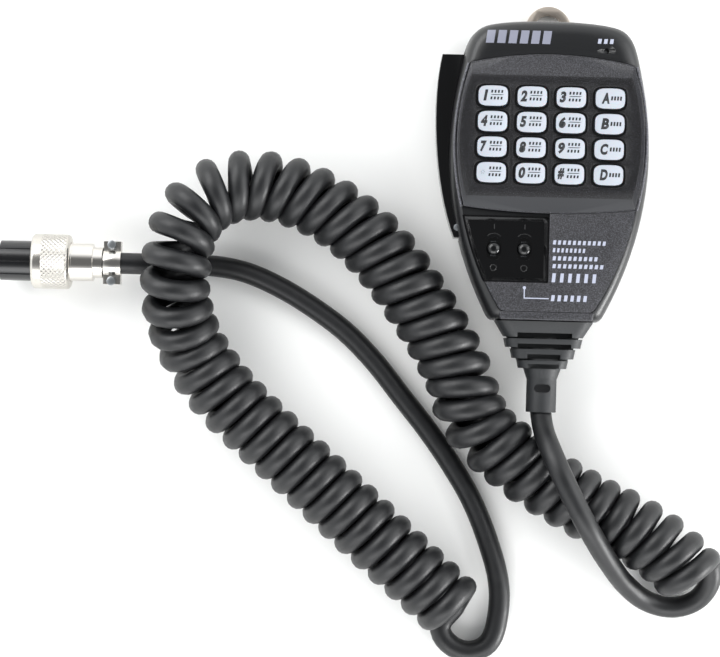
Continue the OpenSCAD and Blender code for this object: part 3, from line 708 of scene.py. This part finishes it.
def letter(glyph, low, high):
    """A bold printed letter or figure that fills a box in mm."""
    bpy.ops.object.text_add()
    text = bpy.context.object
    text.data.body = glyph
    text.data.extrude = 0.5
    text.data.offset = 0.055
    text.data.shear = 0.18
    text.data.resolution_u = 6
    bpy.ops.object.convert(target="MESH")
    text = bpy.context.object
    bpy.ops.object.mode_set(mode="EDIT")
    bpy.ops.mesh.select_all(action="SELECT")
    bpy.ops.mesh.remove_doubles(threshold=1e-5)
    bpy.ops.mesh.normals_make_consistent(inside=False)
    bpy.ops.object.mode_set(mode="OBJECT")
    return fitted(text, low, high)


LEGENDS = {"1": "1", "2": "2", "3": "3", "a": "A", "4": "4", "5": "5", "6": "6", "b": "B",
           "7": "7", "8": "8", "9": "9", "c": "C", "star": "*", "0": "0", "hash": "#", "d": "D"}
KEY_TOP = 26.5
for word, glyph in LEGENDS.items():
    node = "key_" + word
    cap = dressed(node + "_piece", node, BODIES[node], 0.55, 4, smooth=40)
    low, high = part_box(node)
    x, y = (low.x + high.x) / 2 / MM - AXIS_X, (low.y + high.y) / 2 / MM
    tall = 1.3 if glyph == "*" else 1.85
    if glyph in "ABCD":
        parts = [letter(glyph, (x - 3.0, y - 1.8, KEY_TOP - 1.6), (x - 0.35, y + 1.9, KEY_TOP + 0.8))]
        parts += marks(x + 0.1, y + 0.05, 4.0, 1.35, 4, KEY_TOP)
    else:
        left = 0.7 if glyph == "1" else 0
        parts = [letter(glyph, (x - 4.0 + left, y - tall + 0.1, KEY_TOP - 1.6),
                        (x - 1.75, y + tall + 0.1, KEY_TOP + 0.8))]
        parts += marks(x - 0.8, y + 1.4, 4.5, 0.95, 4, KEY_TOP, 0.4)
        parts += marks(x - 1.0, y - 0.85, 4.5, 0.95, 4, KEY_TOP, 0.4)
        parts += marks(x - 1.0, y + 0.3, 4.6, 0.24, 1, KEY_TOP, 0)
    printed(node + "_print", parts, cap, key_ink, BODIES[node])

parts = []
for i in range(6):
    parts += marks(-22.6 + 3.75 * i, 56.5, 3.75, 4.4, 1, FACE_Z, 0.45)
printed("cap_badge", parts, shell, badge_ink, "case")
printed("cap_sound_mark", marks(14.7, 55.7, 6.0, 1.6, 3, FACE_Z, 0.6), shell, case_ink, "case")

parts = []
for y, width, count in ((-11.7, 18.2, 11), (-14.3, 11.4, 8), (-17.0, 15.6, 9), (-19.6, 17.6, 10)):
    parts += marks(1.5, y, width, 1.4, count, FACE_Z, 0.5)
parts += marks(1.4, -23.5, 16.2, 3.0, 6, FACE_Z, 1.3)
parts += marks(1.3, -30.3, 12.9, 2.0, 6, FACE_Z, 0.8)
parts += [oblong("dot", (-7.6, -27.1, FACE_Z), 1.1, 1.1, 2)]
parts += [box("leader", (-7.78, -30.7, 26), (-7.42, -27.1, 28))]
parts += [box("leader", (-7.42, -30.7, 26), (0.6, -30.34, 28))]
printed("plate_print", parts, made["lower_plate"], case_ink, "case")
bpy.data.objects.remove(mark)

# ---------------------------------------------------------------- strain relief

# The windows between the flanges: from and to below the case's foot, half of the width, and the floor
WINDOWS = [(3.9, 5.5, 9.2, 18.2), (7.6, 8.95, 9.0, 17.9), (11.1, 12.65, 5.6, 17.6), (14.4, 16, 5.2, 17.4)]
SLOT_Y = -60.7

boot = dressed("cord_boot_piece", "cord_boot", "case")
cut(boot, oblong("slot", (0, SLOT_Y, 18.5), 2.8, 5.6, 3.2, along="X"))
for top, foot, half, depth in WINDOWS:
    cut(boot, box("window", (-half, CASE_FOOT - foot, depth), (half, CASE_FOOT - top, 26)))
soften(boot, 0.35, 3)
# The floor of the slot gets the case's darker black: painted shade at the bottom of the slot
boot.data.materials.append(case_plastic)
for face in boot.data.polygons:
    x, y, z = face.center / MM
    face.material_index = int(16.7 < z < 17.2 and abs(x - AXIS_X) < 3 and abs(y - SLOT_Y) < 1.5)

# The web that joins the flanges behind their grooves, narrowing towards the cord
web = box("cord_boot_web", (-12.9, -53.6, 6), (12.9, -42, 17.5))
pick(web, lambda p, n: n.y < -0.9)
bpy.ops.transform.resize(value=(0.58, 1, 0.9))
bpy.ops.object.mode_set(mode="OBJECT")
pick(web, lambda p, d: abs(d.y) > 0.6, "EDGE")
bpy.ops.mesh.bevel(offset=3 * MM, segments=5)
bpy.ops.object.mode_set(mode="OBJECT")
soften(web, 0.3, 2)
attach(web, "case")
finish_with(web, "boot_rubber")

# ---------------------------------------------------------------- plug

INSERT_R = 6.8

# Fine grooves along the top of the contact insert
insert = dressed("plug_insert_piece", "plug_insert", "case")
for y in (-0.3, 3.9, -4.6):
    foot = PLUG_Z + math.sqrt(INSERT_R ** 2 - y * y) - 0.3
    cut(insert, box("groove", (-190, PLUG_Y + y - 0.2, foot), (-171.8, PLUG_Y + y + 0.2, 20), 0))
soften(insert, 0.3, 3)
made["plug_insert"] = insert
made["plug_body"] = dressed("plug_body_piece", "plug_body", "case", 0.3, 3)
ring = dressed("coupling_ring_piece", "coupling_ring", "coupling_ring", 0.35, 3)
ring.data.materials[0] = ring_plate
made["coupling_ring"] = ring

# ---------------------------------------------------------------- view layer update

bpy.context.view_layer.update()

# ---------------------------------------------------------------- floor and light

bpy.ops.mesh.primitive_plane_add(size=6)
floor = bpy.context.object
floor.name = "floor"
# White paper sweep: matte and nearly white
floor.data.materials.append(surface("paper_white", "#fafaf8", 0.9))

# The room: white walls round the table, under a dark ceiling that keeps black surfaces black
world = bpy.data.worlds.new("studio")
bpy.context.scene.world = world
world.use_nodes = True
tree = world.node_tree
where = add(tree, "ShaderNodeTexCoord")
split = add(tree, "ShaderNodeSeparateXYZ")
tree.links.new(where.outputs["Generated"], split.inputs[0])
height = add(tree, "ShaderNodeMapRange", {"From Min": 0.6, "From Max": 0.95, "To Min": 1.55, "To Max": 0.18})
height.interpolation_type = "SMOOTHSTEP"
tree.links.new(split.outputs["Z"], height.inputs["Value"])
tree.nodes["Background"].inputs["Color"].default_value = (0.96, 0.98, 1.0, 1)
tree.links.new(height.outputs["Result"], tree.nodes["Background"].inputs["Strength"])


def softbox(name, place, size, power, aim=(-0.05, -0.04, 0)):
    """A soft rectangular lamp aimed at the table."""
    light = bpy.data.lights.new(name, "AREA")
    light.shape = "RECTANGLE"
    light.size, light.size_y = size
    light.energy = power
    lamp = bpy.data.objects.new(name, light)
    bpy.context.scene.collection.objects.link(lamp)
    lamp.location = place
    lamp.rotation_euler = (Vector(aim) - Vector(place)).to_track_quat("-Z", "Y").to_euler()


softbox("key_light", (-0.9, 0.8, 0.85), (1.3, 0.9), 14)
softbox("right_light", (1.1, 0.3, 0.75), (0.9, 1.2), 7)
softbox("side_card", (0.85, -0.5, 0.16), (0.5, 0.25), 9)
softbox("low_light", (-0.1, -1.15, 0.75), (1.4, 0.7), 9)
